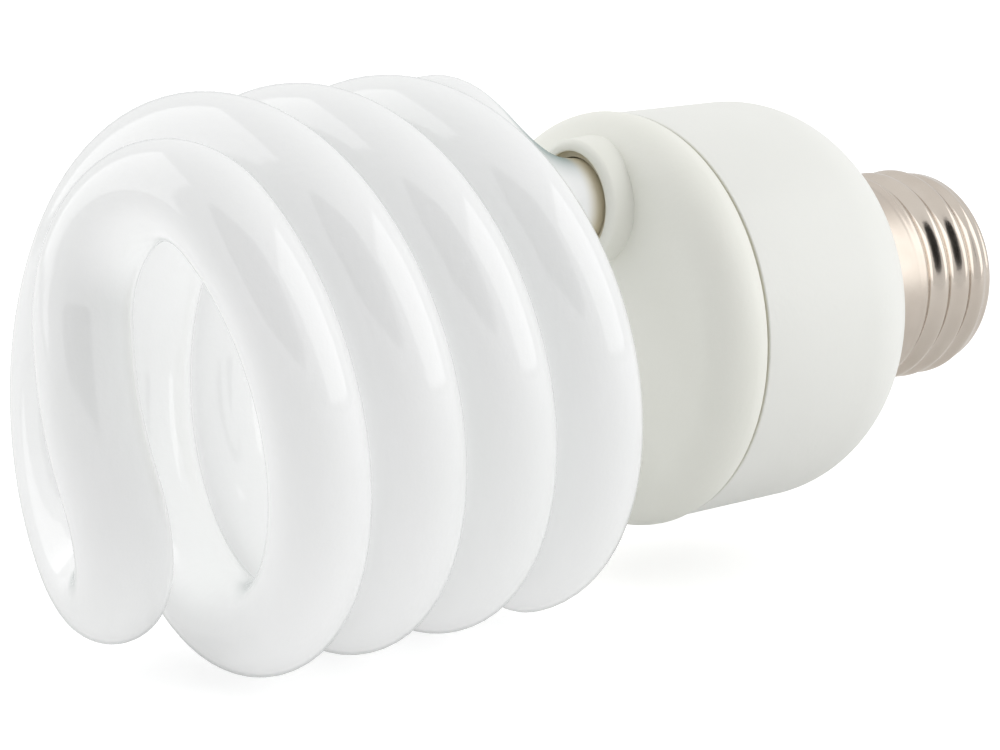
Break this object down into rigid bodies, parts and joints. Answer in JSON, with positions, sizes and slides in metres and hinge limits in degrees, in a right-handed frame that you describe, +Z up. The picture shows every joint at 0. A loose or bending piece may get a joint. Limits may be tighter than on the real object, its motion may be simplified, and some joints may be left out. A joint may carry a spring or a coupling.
{
  "type": "spiral compact fluorescent lamp",
  "caption": "Spiral compact fluorescent lamp with a double-helix glass tube, ballast housing and screw cap.",
  "frame": {"origin": "bottom centre of the bounding box, with the lamp lying on its side, its axis level along X", "axes": "+X along the lamp axis from the glass to the screw cap, +Z up; the picture was taken from the -Y side"},
  "size_m": [0.1306, 0.0618, 0.0617],
  "materials": {
    "phosphor_glass": "gloss",
    "cover_plastic": "satin",
    "housing_plastic": "satin",
    "nickel_shell": "gloss",
    "insulator_glass": "gloss",
    "solder": "satin",
    "cement": "matte",
    "board_laminate": "matte",
    "ferrite": "matte",
    "copper_wire": "gloss",
    "bobbin_plastic": "matte",
    "capacitor_sleeve": "gloss",
    "film_dip": "gloss",
    "moulded_black": "matte",
    "resistor_coat": "satin",
    "diac_glass": "gloss",
    "sleeve_fibre": "matte",
    "wire_cover": "satin",
    "tinned_steel": "satin"
  },
  "bodies": {
    "root": {"base_insulator": "insulator_glass", "centre_contact": "solder", "choke_bobbin": "bobbin_plastic", "choke_core_1": "ferrite", "choke_core_2": "ferrite", "choke_winding": "copper_wire", "circuit_board": "board_laminate", "drum_core": "ferrite", "drum_winding": "copper_wire", "electrolytic_capacitor": "capacitor_sleeve", "film_capacitor_1": "film_dip", "film_capacitor_2": "film_dip", "front_cover": "cover_plastic", "fuse_resistor": "resistor_coat", "fuse_sleeve": "sleeve_fibre", "neutral_wire": "wire_cover", "rear_housing": "housing_plastic", "rectifier_diode_1": "moulded_black", "rectifier_diode_2": "moulded_black", "rectifier_diode_3": "moulded_black", "rectifier_diode_4": "moulded_black", "resistor_1": "resistor_coat", "resistor_2": "resistor_coat", "screw_shell": "nickel_shell", "spiral_tube": "phosphor_glass", "starter_diac": "diac_glass", "toroid_core": "ferrite", "toroid_windings": "copper_wire", "transistor_1": "moulded_black", "transistor_2": "moulded_black", "tube_cement_1": "cement", "tube_cement_2": "cement", "tube_lead_1": "tinned_steel", "tube_lead_2": "tinned_steel", "tube_lead_3": "tinned_steel", "tube_lead_4": "tinned_steel", "wrap_post_1": "tinned_steel", "wrap_post_2": "tinned_steel", "wrap_post_3": "tinned_steel", "wrap_post_4": "tinned_steel"}
  },
  "joints": []
}
